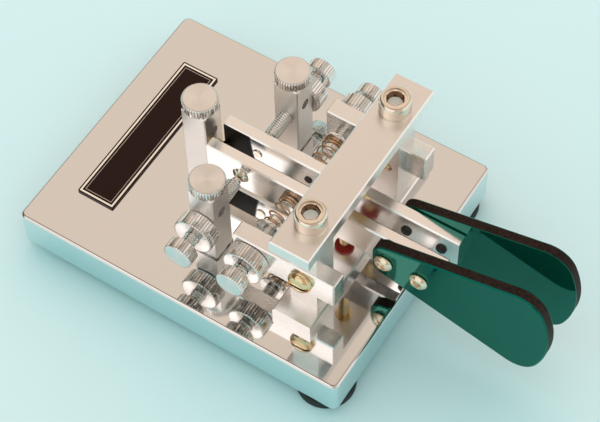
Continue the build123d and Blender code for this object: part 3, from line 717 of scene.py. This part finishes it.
# Return springs
# Open coils of bronze wire with closed ends, between a peg on each lever and a seat on its adjuster.
# The seat and the peg have short noses that centre the coil. At rest the coil stands clear of the lever
# by as much as a full press brings the lever closer.
bronze = plated("bronze_wire", (0.72, 0.46, 0.27, 1.0), 0.2)
WIRE_RADIUS = 0.24
WIRE_SIDES = 12
TURNS = 5.5
TURN_STEPS = 40
END_CLOSING = 0.75
PRESS_GAP = 0.26
CUP_NOSE = 2.4
CUP_FLANGE = 0.9
for side, hand in SIDES:
    node = f"return_spring_{hand}"
    length = extent(node, 0) - 2 * WIRE_RADIUS - PRESS_GAP
    coil = extent(node, 2) / 2 - WIRE_RADIUS
    share = np.linspace(0, 1, int(TURNS * TURN_STEPS))
    turn = 2 * np.pi * TURNS * share
    # Distance along the coil is the share less a sine of it, so that the first and last turns close up.
    travel = length * (share - END_CLOSING * np.sin(2 * np.pi * share) / (2 * np.pi))
    out = np.stack([0 * turn, np.cos(turn), np.sin(turn)], axis=1)
    path = coil * out + np.outer(PRESS_GAP + WIRE_RADIUS + travel, (side, 0, 0))
    ahead = np.gradient(path, axis=0)
    ahead /= np.linalg.norm(ahead, axis=1, keepdims=True)
    beside = np.cross(ahead, out)
    around = (2 * np.pi * np.arange(WIRE_SIDES) / WIRE_SIDES)[None, :, None]
    section = np.cos(around) * out[:, None] + np.sin(around) * beside[:, None]
    points = path[:, None] + WIRE_RADIUS * section
    first, last = (np.repeat(end, WIRE_SIDES, axis=1) for end in (path[:1, None], path[-1:, None]))
    at_lever, at_seat = inner_end(node, (side, 0, 0)), inner_end(node, (-side, 0, 0))
    spring = skin(f"coil_spring_{hand}", at_lever + MM * np.concatenate([first, points, last]))
    finished(spring, bronze, None, 60)
    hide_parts(node)
    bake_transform(spring)
    node = f"spring_seat_{hand}"
    length, flange = extent(node, 0), extent(node, 2) / 2
    seat = lathe(f"spring_cup_{hand}", [
        (0, 0), (0, CUP_NOSE - 0.5), (0.5, CUP_NOSE), (length - CUP_FLANGE, CUP_NOSE),
        (length - CUP_FLANGE, flange), (length, flange), (length, 0)],
        inner_end(node, (side, 0, 0)), (side, 0, 0), 0.2)
    finished(seat, turned_nickel, f"spring_screw_{hand}")
    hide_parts(node)
# The spring pins' tails between the levers are painted dark as painted shade.
dress(shade_tailed("pin_with_shaded_tail", (0.84, 0.83, 0.80, 1.0)), "spring_pin_left", "spring_pin_right")

# Binding screws and caps
# A threaded clamping screw stands in each post, with a knurled cap whose top is turned flat.
M3_PITCH = 0.5
M3_BORE = 1.52
CLAMP_POINT = (0.9, 1.15)
CAP_CROWN = 1.0
CAP_KNURL_TEETH = 40
CAP_GROOVE = 0.32
for post in ("left", "right", "common"):
    node = f"binding_screw_{post}"
    screw = thread(f"clamp_screw_{post}", extent(node, 2), extent(node, 0) / 2, M3_PITCH,
                   inner_end(node, (0, 0, 1)), (0, 0, 1), CLAMP_POINT)
    finished(screw, bright, node, 40)
    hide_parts(node)
    node = f"binding_cap_{post}"
    height, rim = extent(node, 2), extent(node, 0) / 2
    knurled(f"knurled_cap_{post}", [
        (height - CAP_CROWN, 0, 0), (height - CAP_CROWN, M3_BORE, 0), (0, M3_BORE, 0), (0, rim - 0.6, 0),
        (0.3, rim - 0.1, 1), (0.5, rim, 1), (height - 0.3, rim, 1), (height, rim - 0.28, 1),
        (height, rim - 0.75, 0), (height, 0, 0)],
        CAP_KNURL_TEETH, CAP_GROOVE, inner_end(node, (0, 0, 1)), (0, 0, 1), turned_nickel, node, node)

# Studio
# A pale blue-green paper floor, a soft warm lamp above and to the right, and a soft room of light. What
# the metal reflects is a dim room with a ceiling, a soft box and pale walls. What lights the matt
# surfaces is a blue-green fill: with the lamp it comes to about neutral, and alone it tints the shadows.
floor_mesh = bpy.data.meshes.new("floor")
REACH = 4.0
floor_mesh.from_pydata([(-REACH, -REACH, 0), (REACH, -REACH, 0), (REACH, REACH, 0), (-REACH, REACH, 0)], [],
                       [(0, 1, 2, 3)])
floor = bpy.data.objects.new("floor", floor_mesh)
bpy.context.scene.collection.objects.link(floor)
paper, place = new_finish("pale_paper")
shade(place, {
    "Base Color": place.grain(9, 3).mix(shown(208, 232, 229), shown(218, 236, 233)),
    "Roughness": 0.9,
    "Specular IOR Level": 0.1,
})
floor_mesh.materials.append(paper)

world = bpy.data.worlds.new("soft_room")
bpy.context.scene.world = world
world.use_nodes = True
world.node_tree.nodes.clear()
room = Field(world.node_tree)
look = room.node("ShaderNodeTexCoord", None, None, "Generated")
DARK_ROOM = (0.16, 0.12, 0.085, 1.0)
DARK_FRONT = (0.55, 0.49, 0.43, 1.0)
CEILING = (0.84, 0.70, 0.585, 1.0)
SOFTBOX = (0.85, 0.74, 0.68, 1.0)
SOFTBOX_CORE = (1.7, 1.6, 1.55, 1.0)
LEFT_WALL = (1.0, 0.98, 0.94, 1.0)
FRONT_WALL = (0.95, 0.90, 0.84, 1.0)
FILL = (0.74, 1.02, 1.05, 1.0)
dark = look.part(1).step(-0.2, 0.2).mix(DARK_FRONT, DARK_ROOM)
left_wall = look.along((-0.88, 0.1, 0.46)).step(0.80, 0.90).mix(dark, LEFT_WALL)
front_wall = look.along((0.38, -0.89, 0.25)).step(0.72, 0.88).mix(left_wall, FRONT_WALL)
ceiling = look.along((0.62, 0.45, 0.64)).step(0.82, 0.95).mix(front_wall, CEILING)
softbox = look.along((-0.457, 0.311, 0.833)).step(0.90, 0.96).mix(ceiling, SOFTBOX)
core = look.along((-0.41, 0.30, 0.86)).step(0.985, 0.996).mix(softbox, SOFTBOX_CORE)
below = look.part(2).step(-0.02, 0.02).mix(shown(214, 234, 231), core)
diffuse_rays = room.node("ShaderNodeLightPath", None, None, "Is Diffuse Ray")
picture = diffuse_rays.mix(below, FILL)
background = room.node("ShaderNodeBackground", None, {"Color": picture, "Strength": 1.0})
room.node("ShaderNodeOutputWorld", None, {"Surface": background})

lamp_data = bpy.data.lights.new("soft_lamp", "AREA")
lamp_data.shape = "DISK"
lamp_data.size = 1.8
lamp_data.energy = 6.2
lamp_data.color = (1.0, 0.24, 0.18)
lamp = bpy.data.objects.new("soft_lamp", lamp_data)
bpy.context.scene.collection.objects.link(lamp)
lamp.visible_glossy = False
lamp_place = np.array((0.6, 0.3, 0.85))


def facing(toward, turn, position):
    """A matrix that looks from position along -toward, turned by turn radians about that line."""
    back = np.array(toward) / np.linalg.norm(toward)
    right = np.cross((0, 0, 1), back)
    right /= np.linalg.norm(right)
    up = np.cross(back, right)
    turned_right = math.cos(turn) * right + math.sin(turn) * up
    turned_up = math.cos(turn) * up - math.sin(turn) * right
    matrix = np.eye(4)
    matrix[:3] = np.stack([turned_right, turned_up, back, position], axis=1)
    return Matrix(matrix.tolist())


lamp.matrix_world = facing(lamp_place, 0, lamp_place)

camera_data = bpy.data.cameras.new("camera")
camera_data.sensor_width = 36.0
camera_data.lens = 115.38
camera_data.shift_x = 0.0159
camera_data.shift_y = -0.0430
camera = bpy.data.objects.new("camera", camera_data)
bpy.context.scene.collection.objects.link(camera)
bpy.context.scene.camera = camera
azimuth, elevation, roll = (math.radians(angle) for angle in (-55.782, 56.445, -2.015))
level = math.cos(elevation)
back = (math.sin(azimuth) * level, -math.cos(azimuth) * level, math.sin(elevation))
camera.matrix_world = facing(back, roll, (-0.23061, -0.14711, 0.44712))

bpy.context.scene.view_settings.view_transform = "Standard"
